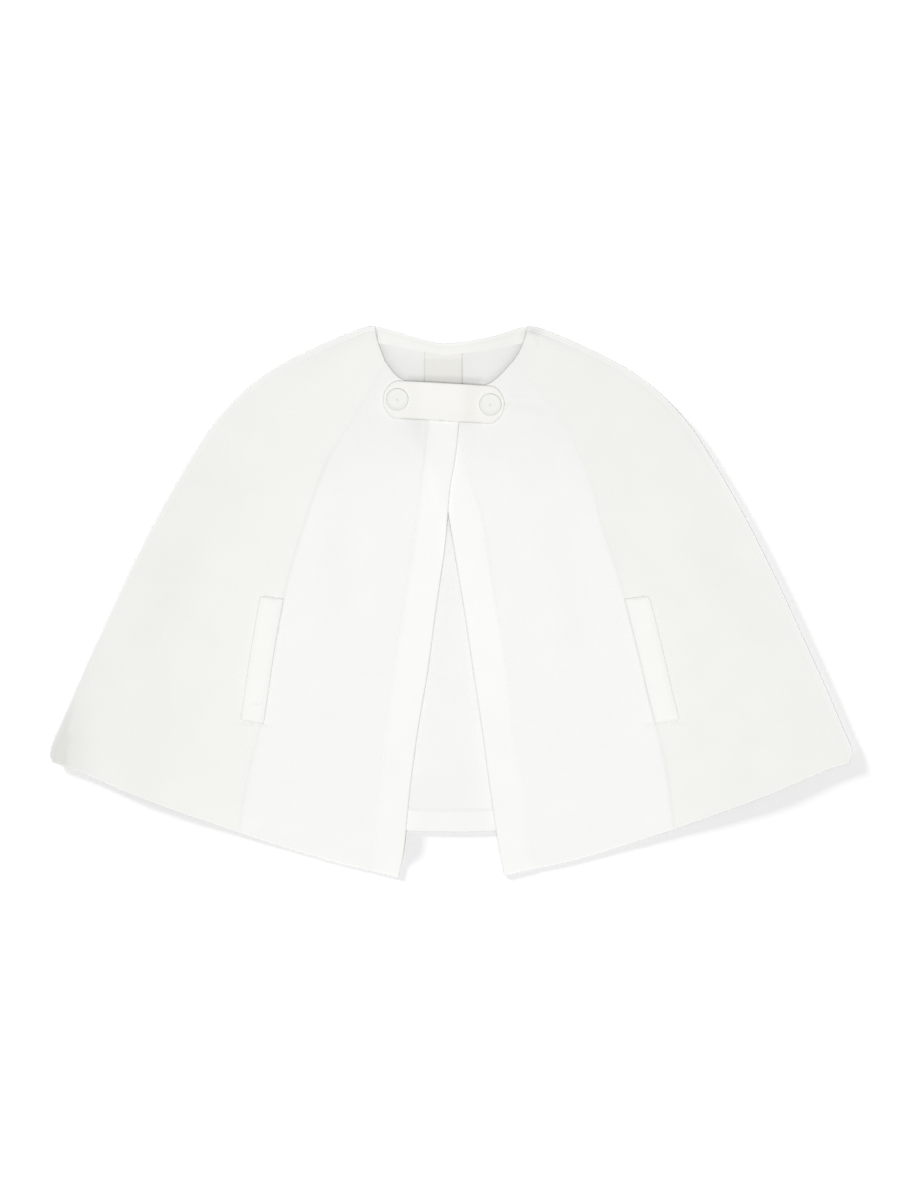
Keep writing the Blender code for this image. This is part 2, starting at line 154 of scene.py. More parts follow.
# Points of the neckline and the hem between those seams: (across, up)
BACK_NECK = [
    (-58.4, 219.9), (-53.0, 218.6), (-40.8, 215.2), (-24.8, 210.4), (-8.0, 206.8), (7.2, 207.6),
    (23.2, 210.2), (39.2, 214.0), (53.0, 218.6), (58.4, 219.9),
]
SIDE_NECK = {
    "right": [(-59.6, 213.0), (-57.6, 205.6)],
    "left": [(58.4, 209.6), (54.4, 200.0)],
}
FRONT_NECK = {
    "right": [(-44.8, 182.4), (-36.8, 176.8), (-26.4, 172.8)],
    "left": [(39.2, 181.6), (31.2, 175.2), (20.8, 171.8)],
}
SIDE_HEM = [(217.0, -168.0), (257.0, -153.0), (297.0, -135.6)]
FRONT_HEM = [(97.0, -207.0), (137.0, -195.0)]

# Half the width of the tab at a distance from its end: (from_end, half_width)
TAB_END = [(0.0, 2.8), (0.8, 5.4), (2.2, 8.3), (4.2, 11.0), (6.6, 13.4), (9.2, 14.8), (12.0, TAB_HALF)]

# Painted shadow in dark lines along the lower edge of the tab: (from, to, depth), along from its middle
TAB_LINES = [(-35.0, -11.0, 0.2), (-4.2, 1.8, 0.3), (12.0, 33.0, 0.14)]

SIDES = {"right": -1.0, "left": 1.0}

# The fine grids: the step between points, and the points close to an edge that round it
LONG_ROW = 392.0
STEP = 2.2
BACK_STEP = 4.0
NECK_STEP = 1.4
NECK_LENGTH = 64.0
WELT_STEP = 1.6
TAB_STEP = 1.5
STRIP_STEP = 1.8
LABEL_STEP = 1.2
FOLD_TURNS = 12
FOLD_SEAM_STEPS = (0.35, 0.6, 0.8, 0.95, 1.0)
EDGE_POINTS = (0.0, 0.12, 0.36, 0.75, 1.25, 1.9, 2.8, 4.0)
SHARP_ANGLE = math.radians(50.0)

# How deep the line of a seam is along its length: (up, depth)
FRONT_SEAM_DEPTH = {
    "right": [(-184, 0.5), (-110, 0.6), (0, 0.8), (110, 0.85), (134, 0.35), (193, 0.15)],
    "left": [(-182, 0.8), (-100, 0.8), (20, 0.6), (90, 0.3), (120, 0.15), (193, 0.1)],
}
BAND_SEAM_DEPTH = {
    "right": [(-215, 0.2), (-40, 0.35), (0, 0.6), (70, 0.6), (120, 0.8), (172, 1.0)],
    "left": [(-214, 0.25), (-60, 0.3), (0, 0.7), (60, 0.7), (100, 0.3), (172, 0.2)],
}
FOLD_SEAM_DEPTH = {
    "right": [(-121, 0.4), (-60, 0.2), (60, 0.15), (220, 0.1)],
    "left": [(-121, 0.2), (60, 0.2), (140, 0.3), (220, 0.3)],
}
SEAM_REACH = 0.9
SEAM_NICK = 0.4
SEAM_ROLL = 0.2
SEAM_ROLL_REACH = 3.6

# Painted shade: how much darker the cloth is in a seam that is one millimetre deep, in a crease, and on
# and beside a welt
SEAM_SHADE = 0.05
SEAM_SOFT = 1.6
CREASE_SHADE = 0.035
WELT_EDGE_SHADE = 0.04
WELT_SOFT = 1.3

# Soft changes: (amount, where it starts, over how far it comes in, negative the other way)
# Painted highlights on the rim of the side fold, of the hem and of the back's neckline
FOLD_HIGHLIGHT = (0.3, 1.5, -1.5)
HEM_HIGHLIGHT = (0.15, 1.5, -1.5)
NECK_HIGHLIGHT = (0.16, 1.5, -1.5)
# Painted shade on the chest, and painted light on the slope where the right front laps over the left
CHEST_SHADE = (0.045, 62.0, 108.0)
LAP_PALENESS = (0.04, 128.0, -24.0)
SIDE_UPPER = {"right": (0.012, 90.0, 50.0), "left": (-0.01, 90.0, 50.0)}
NECK_SHADE = (0.16, 38.0, -12.0)
# Painted shade on the inside of the back: in the middle, higher up and just above the hem facing
BACK_MIDDLE = (0.014, -50.0, 60.0)
BACK_UPPER = (0.071, 60.0, 110.0)
BACK_LOWEST = (1.0, -132.0, -14.0)
BACK_LOWEST_RIGHT = (0.01, 2.0, -16.0)
BACK_LEFT = (0.01, 10.0, 16.0)
BACK_NECK_RIGHT = (0.035, -4.0, -16.0)
FACING_LEFT = (0.025, 0.0, 40.0)
FACING_EDGE = (0.06, 3.0, -3.0)
LABEL_CURL = (0.4, 200.0, -14.0)
# Painted shade on the label towards the tab
LABEL_LOW = (0.03, 194.0, -20.0)
LABEL_FOLD = (0.07, 193.8, 1.4)
TAB_RIGHT = (0.022, -16.0, -18.0)
TAB_LEFT = (0.018, 10.0, 8.0)
TAB_LOW = (0.012, -4.0, -8.0)

# The fronts: how the chest's shade slants, the palest part of the bands, and the shades under the tab,
# as (middle, half_width, depth)
CHEST_SLANT = 0.2
CHEST_MIDDLE = 60.0
BAND_PALENESS = 0.016
BAND_MIDDLE = -20.0
BAND_REACH = 70.0
TAB_SHADES = [(-29.0, 12.0, 0.042), (13.0, 9.0, 0.026)]
TAB_SHADE_REACH = 16.0
TAB_SHADE_START = -2.0

# The sides: their tone, and their painted shade, paler by the seam as (amount, reach, up, fade)
# and deeper by the fold as (amount, more below, reach)
SIDE_TONE = {"right": 0.973, "left": 0.98}
SIDE_BY_SEAM = {"right": (0.03, 92.0, 140.0, 80.0), "left": (0.015, 50.0, 40.0, 60.0)}
SIDE_BY_FOLD = {"right": (0.012, 0.0, 60.0), "left": (0.006, 0.011, 50.0)}
SIDE_LOW = (1.0, -80.0, -40.0)

# The small shade where the wearer's left shoulder meets the neck
SHOULDER_PLACE = (66.0, 216.5)
SHOULDER_REACH = (7.0, 3.2)
SHOULDER_DARK = 0.12

# The inside's painted shade: how deep it is by the fronts' edge round the neck as (depth, reach), and
# above the tab
NECK_EDGE_SHADES = [(0.09, 3.2), (0.05, 8.0)]
NECK_FROM = 150.0
NECK_SHADE_REACH = 5.8
NECK_SHADE_LEAN = 0.03
BACK_LOWEST_DEPTH = 0.006
BELOW_FACING_REACH = 9.0
FACING_TONE = 1.02
LINE_WIDTH = 0.9
TAB_LINE_END = 4.0
LABEL_LINES = [(LABEL_LEFT, 0.14), (LABEL_RIGHT, 0.2)]

# The low, broad unevenness of the cloth: its height, and its waves as (size, place, share)
BROAD_HEIGHT = 0.36
BROAD_WAVES = [(62.0, 3.7, 1.0), (24.0, 9.1, 0.4)]

# How much an edge is pressed down and how far in that reaches, and how thin a flat edge is
EDGE_PRESS = {"free": (0.25, 2.6), "hem": (0.25, 2.6), "pressed": (1.15, 3.2)}
EDGE_LAND = 0.05
FLAT_REACH = {"flat": 4.5, "crisp": 2.6}
FLAT_SHARE = 0.8

# Painted shade by the right corner's fold, how dark the cloth is there: (up, depth, dark_width,
# fade_width)
CORNER_SHADE = [
    (-124, 0.13, 12.5, 30), (-110, 0.122, 11.5, 30), (-102, 0.118, 5.5, 29),
    (-94, 0.11, 3.5, 24), (-74, 0.06, 2, 17), (-40, 0.035, 0, 8), (0, 0, 0, 8),
]
CORNER_EDGE = 4.0

# Soft troughs from one plan point to another: (piece, x0, y0, x1, y1, depth, half_width)
CREASES = [
    ("front_panel_left", 45.0, 162.2, 63.0, 161.6, -0.7, 1.4),
    ("front_panel_left", 39.0, 158.6, 53.0, 158.4, 1.0, 1.2),
    ("front_panel_left", 50.0, 162.0, 78.0, 150.0, 0.4, 4.0),
    ("side_panel_right", -176.0, -95.6, -150.0, -97.0, 1.0, 1.6),
    ("front_panel_right", -157.0, -98.2, -139.0, -98.8, 0.8, 1.4),
    ("welt_right", -161.0, -80.0, -148.0, -81.0, 0.9, 1.3),
    ("side_panel_left", 164.0, -98.6, 190.0, -95.0, 0.9, 1.6),
    ("front_panel_left", 154.0, -98.2, 165.0, -97.0, 0.9, 1.3),
    ("side_panel_left", 68.6, 221.0, 68.6, 203.0, 1.1, 1.4),
    ("side_panel_right", -200.0, 60.0, -262.0, -60.0, 0.5, 16.0),
    ("side_panel_left", 196.0, 84.0, 246.0, -40.0, 0.5, 16.0),
    ("front_panel_right", -84.0, 96.0, -96.0, -40.0, 0.4, 12.0),
    ("front_panel_left", 84.0, 90.0, 102.0, -60.0, 0.4, 12.0),
]

# How a trough sways and fades, and the ridges beside it as (height, place, half_width), in its widths
CREASE_SWAY = 0.25
CREASE_TURN = 5.0
CREASE_FADE = 0.7
CREASE_RIDGE = (0.35, 1.9, 0.8)

# Small waves along a seam: (piece, table, side, from_up, to_up, height, wave, reach)
PUCKERS = [
    ("side_panel_right", "seam", "right", -98, -186, 0.45, 13, 7),
    ("front_panel_right", "seam", "right", -98, -186, 0.35, 13, 6),
    ("side_panel_left", "seam", "left", -100, -184, 0.25, 14, 6),
    ("side_panel_right", "seam", "right", 190, 120, 0.22, 11, 6),
    ("front_panel_right", "seam", "right", 190, 120, 0.22, 11, 6),
    ("side_panel_left", "seam", "left", 190, 110, 0.22, 12, 6),
    ("front_panel_left", "seam", "left", 190, 110, 0.22, 12, 6),
    ("side_panel_right", "fold", "right", 200, 60, 0.3, 12, 5),
    ("side_panel_left", "fold", "left", 214, 120, 0.3, 12, 5),
]
PUCKER_FADE = 0.2
PUCKER_SLANT = 0.35

# An uneven wave: (height, rate, start)
WAVES = [(0.55, 1.0, 0.0), (0.3, 2.31, 1.3), (0.25, 3.73, 0.4)]

# The button's section from its underside to its dimple: shares of (radius, height)
BUTTON_PROFILE = [
    (0.0, 0.0), (0.86, 0.0), (0.97, 0.14), (1.0, 0.5), (0.994, 0.88), (0.972, 0.975), (0.92, 1.0),
    (0.82, 0.97), (0.6, 0.95), (0.2, 0.95), (0.1, 0.93), (0.04, 0.88), (0.0, 0.87),
]
BUTTON_SIDES = 72
BUTTON_SPAN = 6
BUTTON_CENTRE = 0.004

# The wool's look: how strong its nap is, how mottled it is and how much it sheens
WOOL_NAP = 0.25
WOOL_MOTTLE = 0.009
WOOL_SHEEN = 0.12

# The photograph's frame: 900 by 1200 pixels at this size on the cape
PIXEL = 0.8
FRAME_PIXELS = (900, 1200)
MIDDLE_PIXEL = (451, 602)
CAMERA_HEIGHT = 6000.0
SENSOR = 36.0

# Light that each source gives a flat white surface, where the lamps stand and how wide they look
WORLD_LIGHT = 0.36
OVERHEAD_LIGHT = 0.73
OVERHEAD_PLACE = (-0.07, -0.26, 3.0)
OVERHEAD_ANGLE = math.radians(18.0)
FLOOR_LIGHT = 0.37
FLOOR_LAMPS = {
    "floor_overhead": ((0.0, -0.3, 3.0), math.radians(18.0)),
    "floor_low": ((-2.4, 1.95, 1.0), math.radians(11.0)),
}
FLOOR_TONE = 0.571
FLOOR_SIZE = 8.0


def smooth_step(value):
    """An even rise from 0 to 1."""
    share = np.clip(value, 0.0, 1.0)
    return share * share * (3.0 - 2.0 * share)


def soft(value, change):
    """How much of a soft change has come in."""
    amount, start, reach = change
    return amount * smooth_step((value - start) / reach)


def bell(distance, reach):
    """A share that is 1 in the middle and fades out to both sides."""
    return np.exp(-(distance / reach) ** 2)


def smooth_curve(points, per_span=24):
    """A dense line through the points of a table, rounded as cloth is between them."""
    knots = np.array(points, dtype=float)
    ends = np.vstack([2 * knots[0] - knots[1], knots, 2 * knots[-1] - knots[-2]])
    line = []
    for start in range(len(knots) - 1):
        before, here, there, after = ends[start:start + 4]
        for step in range(per_span):
            t = step / per_span
            line.append(
                0.5 * (
                    2 * here
                    + (there - before) * t
                    + (2 * before - 5 * here + 4 * there - after) * t ** 2
                    + (3 * here - before - 3 * there + after) * t ** 3
                )
            )
    line.append(knots[-1])
    return np.array(line)


def along(points, shares):
    """Points at the given shares of the length of a smooth curve."""
    line = smooth_curve(points)
    lengths = np.concatenate([[0.0], np.cumsum(np.linalg.norm(np.diff(line, axis=0), axis=1))])
    wanted = np.asarray(shares) * lengths[-1]
    return np.stack([np.interp(wanted, lengths, line[:, axis]) for axis in (0, 1)], axis=-1)


def length_of(points):
    """The length of a smooth curve."""
    return float(np.sum(np.linalg.norm(np.diff(smooth_curve(points), axis=0), axis=1)))


def mirrored(points, side):
    """A table of (out, up) as (across, up) on one side."""
    return [(SIDES[side] * out, up) for out, up in points]


def across_at(points, up):
    """Where a line that runs down the cape is at a height, as a distance across."""
    line = smooth_curve(points)[::-1]
    return np.interp(up, line[:, 1], line[:, 0])


def fine_shares(width, step):
    """Shares across a width: close at both ends, even between them."""
    start = EDGE_POINTS[-1]
    count = max(2, round((np.max(width) - 2 * start) / step))
    width = np.maximum(np.asarray(width, dtype=float), 2.2 * start)[..., None]
    edge = np.array(EDGE_POINTS) / width
    middle = edge[..., -1:] + (1 - 2 * edge[..., -1:]) * np.arange(1, count) / count
    return np.concatenate([edge, middle, 1 - edge[..., ::-1]], axis=-1)


LONG_ROWS = fine_shares(LONG_ROW, STEP)


def patch(first, last, top, bottom, step=STEP, rows=None):
    """A fine grid of plan points between two seams, a neckline and a hem, and its edge distances.

    The distances are from each of the four sides: first, last, top and bottom.
    """
    length = (length_of(first) + length_of(last)) / 2
    v = fine_shares(length, step) if rows is None else rows
    left = along(first, v)
    right = along(last, v)
    widths = np.linalg.norm(right - left, axis=1)
    u = fine_shares(widths, step)
    upper_line = [left[0], *top, right[0]]
    lower_line = [left[-1], *bottom, right[-1]]
    upper = along(upper_line, u)
    lower = along(lower_line, u)
    corners = [np.array(point) for point in (left[0], right[0], left[-1], right[-1])]
    u = u[..., None]
    rows = v[:, None, None]
    plan = (1 - u) * left[:, None] + u * right[:, None] + (1 - rows) * upper + rows * lower
    plan -= (1 - rows) * ((1 - u) * corners[0] + u * corners[1])
    plan -= rows * ((1 - u) * corners[2] + u * corners[3])
    from_sides = {
        "first": u[..., 0] * widths[:, None],
        "last": (1 - u[..., 0]) * widths[:, None],
        "top": v[:, None] * length * np.ones_like(u[..., 0]),
        "bottom": (1 - v[:, None]) * length * np.ones_like(u[..., 0]),
    }
    return plan, from_sides


def back_hem_up(across):
    """Where the back hem is, at a distance across."""
    return BACK_HEM_Y + BACK_HEM_RISE * (across / HALF_WIDTH) ** 2


def drape_share(across, up):
    """How much of its height the front still has past the back hem, where it falls to the table."""
    return 1.0 - smooth_step((back_hem_up(across) - up - DRAPE_START) / DRAPE)


def front_under(across, up):
    """The underside of the front as it lies on the back."""
    return FRONT_Z * drape_share(across, up)


def lapped_under(across, up):
    """The underside of the right front, which rises over the left front's edge."""
    edge = across_at(FRONT_EDGE["left"], up)
    lift = BAND_CLOTH + LAP_GAP
    return front_under(across, up) + lift * smooth_step((across - edge + LAP_EASE) / LAP_EASE)


FRONT_UNDER = {"right": lapped_under, "left": front_under}


def side_under(side):
    """The underside of a side panel: a low dome from the front seam to the fold."""
    def under(across, up):
        out = np.abs(across)
        inner = across_at(FRONT_SEAM[side], up)
        outer = across_at(SIDE_FOLD, up) - SEAM_INSET
        share = np.clip((out - inner) / np.maximum(outer - inner, 1.0), 0.0, 1.0)
        rest = FRONT_Z + (FOLD_Z - FRONT_Z) * smooth_step(share)
        return (rest + SIDE_DOME * np.sin(math.pi * share) ** 2) * drape_share(across, up)

    return under


def tab_under(across, up):
    """The underside of the tab: over both laps in the middle, down on each front at its ends."""
    rise = smooth_step((across - across_at(FRONT_EDGE["left"], up) + TAB_EASE + TAB_LEAD) / TAB_EASE)
    fall = smooth_step((across_at(FRONT_EDGE["right"], up) + TAB_EASE - across) / TAB_EASE)
    laps = (BAND_CLOTH + LAP_GAP) * np.minimum(rise, fall)
    return FRONT_Z + BAND_CLOTH + LAY_GAP + laps


def wobble(turn):
    """An uneven wave, the same each time, from about -1 to 1."""
    return sum(height * np.sin(rate * turn + start) for height, rate, start in WAVES)


def crease_relief(name, across, up):
    """The troughs of a piece, each fading out towards its ends."""
    relief = np.zeros_like(across)
    for piece, x0, y0, x1, y1, depth, half_width in CREASES:
        if piece != name:
            continue
        run = np.array([x1 - x0, y1 - y0])
        length = np.linalg.norm(run)
        run /= length
        place = (across - x0) * run[0] + (up - y0) * run[1]
        aside = (across - x0) * -run[1] + (up - y0) * run[0]
        aside += CREASE_SWAY * half_width * np.sin(place / length * CREASE_TURN)
        fade = np.sin(math.pi * np.clip(place / length, 0.0, 1.0)) ** CREASE_FADE
        height, beside, width = CREASE_RIDGE
        ridge = height * bell(np.abs(aside) / half_width - beside, width)
        relief += depth * fade * (ridge - bell(aside, half_width))
    return relief


def pucker_relief(name, across, up):
    """The small waves that a seam's stitches pull into the cloth beside it."""
    relief = np.zeros_like(across)
    for piece, table, side, from_up, to_up, height, wave, reach in PUCKERS:
        if piece != name:
            continue
        line = FRONT_SEAM[side] if table == "seam" else SIDE_FOLD
        aside = np.abs(np.abs(across) - across_at(line, up))
        middle = (from_up + to_up) / 2
        half = abs(from_up - to_up) / 2
        window = smooth_step((half - np.abs(up - middle)) / (PUCKER_FADE * half))
        waves = wobble((up + PUCKER_SLANT * np.abs(across)) * 2 * math.pi / wave)
        relief += height * window * waves * bell(aside, reach)
    return relief


def broad_relief(across, up):
    """Low, broad unevenness of cloth that lies by its own weight."""
    flat = [
        sum(share * noise.noise(Vector((x / size, y / size, place))) for size, place, share in BROAD_WAVES)
        for x, y in zip(across.ravel(), up.ravel())
    ]
    return BROAD_HEIGHT * np.array(flat).reshape(across.shape)


def edge_drop(from_sides, kinds, cloth, up):
    """How far the upper and the lower face turn in at the edges.

    A free, hem or pressed edge is round, a flat one thin, and a seam with a table of depths is nicked.
    """
    upper = np.zeros_like(up)
    lower = np.zeros_like(up)
    for side, kind in kinds.items():
        distance = from_sides[side]
        if not isinstance(kind, str):
            depth = np.interp(up, *zip(*kind))
            nick = SEAM_NICK * depth * bell(distance, SEAM_REACH)
            roll = SEAM_ROLL * depth * bell(distance, SEAM_ROLL_REACH)
            upper = np.maximum(upper, nick + roll)
        elif kind in FLAT_REACH:
            thinner = 1.0 - smooth_step(distance / FLAT_REACH[kind])
            upper = np.maximum(upper, FLAT_SHARE * cloth * thinner)
        else:
            press, reach = EDGE_PRESS[kind]
            radius = (cloth - press) / 2 - EDGE_LAND
            inside = np.clip(radius - distance, 0.0, radius)
            round_off = radius - np.sqrt(np.maximum(radius ** 2 - inside ** 2, 0.0))
            upper = np.maximum(upper, round_off + press * bell(distance, reach))
            lower = np.maximum(lower, round_off)
    return upper, lower


def edge_tone(from_sides, kinds, up):
    """How much the tone changes at the edges: painted shade in a soft dark line in a seam and on a welt's
    pressed edges, and a painted highlight on the rim at the hem.
    """
    change = np.zeros_like(up)
    for side, kind in kinds.items():
        distance = from_sides[side]
        if kind == "hem":
            change += soft(distance, HEM_HIGHLIGHT)
        elif kind == "pressed":
            change -= WELT_EDGE_SHADE * bell(distance, WELT_SOFT)
        elif not isinstance(kind, str):
            change -= SEAM_SHADE * np.interp(up, *zip(*kind)) * bell(distance, SEAM_SOFT)
    return change


def finished(name, shape, mesh, material):
    """An object with a smooth mesh from a shape."""
    bmesh.ops.recalc_face_normals(shape, faces=shape.faces[:])
    shape.to_mesh(mesh)
    shape.free()
    mesh.shade_smooth()
    mesh.materials.append(material)
    made = bpy.data.objects.new(name, mesh)
    bpy.context.scene.collection.objects.link(made)
    return made


def shell(name, inner, outer, tones, material):
    """A closed smooth shell between two grids of points, with the tones of both."""
    rows, columns = inner.shape[:2]
    count = rows * columns
    index = np.arange(count).reshape(rows, columns)
    quads = np.stack([index[:-1, :-1], index[:-1, 1:], index[1:, 1:], index[1:, :-1]], axis=-1)
    quads = quads.reshape(-1, 4)
    border = np.concatenate([index[0], index[1:, -1], index[-1, -2::-1], index[-2:0:-1, 0]])
    after = np.roll(border, -1)
    edge = np.stack([border, after, after + count, border + count], axis=-1)
    faces = np.concatenate([quads, quads + count, edge])
    points = np.concatenate([inner.reshape(-1, 3), outer.reshape(-1, 3)]) * MM
    mesh = bpy.data.meshes.new(name)
    mesh.from_pydata(points.tolist(), [], faces.tolist())
    attribute = mesh.attributes.new("tone", "FLOAT", "POINT")
    values = np.concatenate([tone.ravel() for tone in tones])
    attribute.data.foreach_set("value", values.astype(np.float32))
    shape = bmesh.new()
    shape.from_mesh(mesh)
    made = finished(name, shape, mesh, material)
    mesh.set_sharp_from_angle(angle=SHARP_ANGLE)
    return made


def dress(made, node):
    """Let a shell stand for its solid."""
    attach(made, "root")
    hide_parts(node)


def panel(node, grid, kinds, under, cloth, looks):
    """A flat piece of cloth on the height that its solid has, with its edges, creases and puckers.

    The grid is its plan and edge distances, and the looks are its material and the function of its tone.
    """
    plan, from_sides = grid
    material, tone = looks
    if isinstance(kinds, str):
        kinds = dict.fromkeys(from_sides, kinds)
    across, up = plan[..., 0], plan[..., 1]
    low = under(across, up) + np.zeros_like(across)
    creases = crease_relief(node, across, up)
    relief = creases + pucker_relief(node, across, up)
    if cloth >= CLOTH:
        relief += broad_relief(across, up) * smooth_step(low / FRONT_Z)
    upper_drop, lower_drop = edge_drop(from_sides, kinds, cloth, up)
    high = low + cloth + relief - upper_drop
    low = low + np.minimum(relief, 0.0) * smooth_step(low / FRONT_Z) + lower_drop
    shade = np.ones_like(across) if tone is None else tone(across, up)
    # Painted shade and highlights: the edges' lines and rims, and painted shade in the creases' troughs, a
    # little paler on their ridges
    shade = shade + edge_tone(from_sides, kinds, up) + CREASE_SHADE * creases
    low, high = np.dstack([plan, low]), np.dstack([plan, high])
    made = shell(f"{node}_cloth", low, high, [shade, shade], material)
    dress(made, node)


def new_material(name):
    """A material with a Principled shader, and the coordinates of the piece."""
    made = bpy.data.materials.new(name)
    made.use_nodes = True
    tree = made.node_tree
    tree.nodes.clear()
    shader = tree.nodes.new("ShaderNodeBsdfPrincipled")
    output = tree.nodes.new("ShaderNodeOutputMaterial")
    tree.links.new(shader.outputs["BSDF"], output.inputs["Surface"])
    return made, tree, shader, tree.nodes.new("ShaderNodeTexCoord").outputs["Object"]


def noise_node(tree, coordinates, scale, detail, stretch=(1.0, 1.0, 1.0)):
    """A noise texture on stretched coordinates."""
    mapping = tree.nodes.new("ShaderNodeMapping")
    mapping.inputs["Scale"].default_value = stretch
    tree.links.new(coordinates, mapping.inputs["Vector"])
    texture = tree.nodes.new("ShaderNodeTexNoise")
    texture.inputs["Scale"].default_value = scale
    texture.inputs["Detail"].default_value = detail
    tree.links.new(mapping.outputs["Vector"], texture.inputs["Vector"])
    return texture.outputs["Fac"]


def ranged(tree, value, low, high):
    """A value from 0 to 1 moved to a range."""
    node = tree.nodes.new("ShaderNodeMapRange")
    node.inputs["From Min"].default_value = 0.25
    node.inputs["From Max"].default_value = 0.75
    node.inputs["To Min"].default_value = low
    node.inputs["To Max"].default_value = high
    tree.links.new(value, node.inputs["Value"])
    return node.outputs["Result"]


def multiplied(tree, one, other):
    """The product of two values."""
    node = tree.nodes.new("ShaderNodeMath")
    node.operation = "MULTIPLY"
    tree.links.new(one, node.inputs[0])
    tree.links.new(other, node.inputs[1])
    return node.outputs["Value"]


def painted(tree, shader, colour, shade):
    """Give the shader a colour that is scaled by a value."""
    mix = tree.nodes.new("ShaderNodeVectorMath")
    mix.operation = "SCALE"
    mix.inputs[0].default_value = colour
    tree.links.new(shade, mix.inputs["Scale"])
    tree.links.new(mix.outputs["Vector"], shader.inputs["Base Color"])


def embossed(tree, shader, height, strength, depth):
    """Give the shader a fine relief."""
    relief = tree.nodes.new("ShaderNodeBump")
    relief.inputs["Strength"].default_value = strength
    relief.inputs["Distance"].default_value = depth
    tree.links.new(height, relief.inputs["Height"])
    tree.links.new(relief.outputs["Normal"], shader.inputs["Normal"])


def toned(tree, shade):
    """A value times the tone that the mesh carries."""
    tone = tree.nodes.new("ShaderNodeAttribute")
    tone.attribute_name = "tone"
    return multiplied(tree, shade, tone.outputs["Fac"])


def wool(name, colour, nap=(1.0, 0.4, 1.0)):
    """Smooth wool coating: a short lying nap, faint mottling, a soft sheen and no gloss."""
    made, tree, shader, coordinates = new_material(name)
    fibres = noise_node(tree, coordinates, 1900.0, 4.0, nap)
    felt = noise_node(tree, coordinates, 520.0, 3.0, nap)
    cloud = noise_node(tree, coordinates, 38.0, 2.0)
    shade = toned(tree, ranged(tree, fibres, 1.0 - 1.6 * WOOL_MOTTLE, 1.0 + 1.6 * WOOL_MOTTLE))
    shade = multiplied(tree, shade, ranged(tree, cloud, 1.0 - WOOL_MOTTLE, 1.0 + WOOL_MOTTLE))
    painted(tree, shader, colour, shade)
    embossed(tree, shader, multiplied(tree, fibres, ranged(tree, felt, 0.6, 1.4)), WOOL_NAP, 0.0004)
    tree.links.new(ranged(tree, felt, 0.84, 0.98), shader.inputs["Roughness"])
    shader.inputs["Specular IOR Level"].default_value = 0.25
    shader.inputs["Sheen Weight"].default_value = WOOL_SHEEN
    shader.inputs["Sheen Roughness"].default_value = 0.55
    shader.inputs["Sheen Tint"].default_value = (1.0, 0.99, 0.97, 1.0)
    return made


def satin_label(name, colour):
    """A woven label: fine ribs across it, with a slight sheen."""
    made, tree, shader, coordinates = new_material(name)
    ribs = tree.nodes.new("ShaderNodeTexWave")
    ribs.bands_direction = "Y"
    ribs.inputs["Scale"].default_value = 900.0
    ribs.inputs["Distortion"].default_value = 0.6
    tree.links.new(coordinates, ribs.inputs["Vector"])
    threads = noise_node(tree, coordinates, 1500.0, 3.0, (1.0, 3.0, 1.0))
    rows = ranged(tree, ribs.outputs["Fac"], 0.97, 1.02)
    shade = multiplied(tree, rows, ranged(tree, threads, 0.97, 1.03))
    painted(tree, shader, colour, toned(tree, shade))
    embossed(tree, shader, ribs.outputs["Fac"], 0.3, 0.0002)
    shader.inputs["Roughness"].default_value = 0.55
    shader.inputs["Sheen Weight"].default_value = 0.2
    return made


def moulded(name, colour):
    """The button's satin plastic: smooth, with faint clouds and fine wear."""
    made, tree, shader, coordinates = new_material(name)
    clouds = noise_node(tree, coordinates, 260.0, 2.0)
    grain = noise_node(tree, coordinates, 2400.0, 3.0)
    painted(tree, shader, colour, ranged(tree, clouds, 0.975, 1.02))
    tree.links.new(ranged(tree, grain, 0.36, 0.5), shader.inputs["Roughness"])
    embossed(tree, shader, grain, 0.08, 0.0002)
    shader.inputs["Specular IOR Level"].default_value = 0.4
    return made


def floor_material():
    """A plain pale floor."""
    made, tree, shader, coordinates = new_material("floor_paper")
    grain = noise_node(tree, coordinates, 60.0, 2.0)
    painted(tree, shader, (FLOOR_TONE, FLOOR_TONE, FLOOR_TONE), ranged(tree, grain, 0.998, 1.0))
    shader.inputs["Roughness"].default_value = 0.9
    shader.inputs["Specular IOR Level"].default_value = 0.1
    return made


def tab_place(across, up):
    """Distances along and over the tab from its middle, of points on the plan."""
    x = across - TAB_CENTRE[0]
    y = up - TAB_CENTRE[1]
    along_tab = x * math.cos(TAB_TURN) + y * math.sin(TAB_TURN)
    return along_tab, y * math.cos(TAB_TURN) - x * math.sin(TAB_TURN)


def front_tone(across, up):
    """The fronts carry painted shade, deeper on the chest, first beside the seams, and just under the tab,
    and painted light on the slope of the lap.
    """
    tone = 1.0 - soft(up + CHEST_SLANT * (np.abs(across) - CHEST_MIDDLE), CHEST_SHADE)
    below = -tab_place(across, up)[1] - TAB_HALF
    for middle, half_width, depth in TAB_SHADES:
        shade = depth * bell(across - middle, half_width) * bell(below, TAB_SHADE_REACH)
        tone -= np.where(below > TAB_SHADE_START, shade, 0.0)
    # Painted light on the lap's slope, which evens out the slope's own shading
    share = np.clip((across - across_at(FRONT_EDGE["left"], up) + LAP_EASE) / LAP_EASE, 0.0, 1.0)
    slope = (4.0 * share * (1.0 - share)) ** 2
    return tone + slope * soft(up, LAP_PALENESS)


def band_tone(across, up):
    """The bands carry the fronts' painted shade and painted light, and are palest half way down."""
    return front_tone(across, up) * (1.0 + BAND_PALENESS * bell(up - BAND_MIDDLE, BAND_REACH))


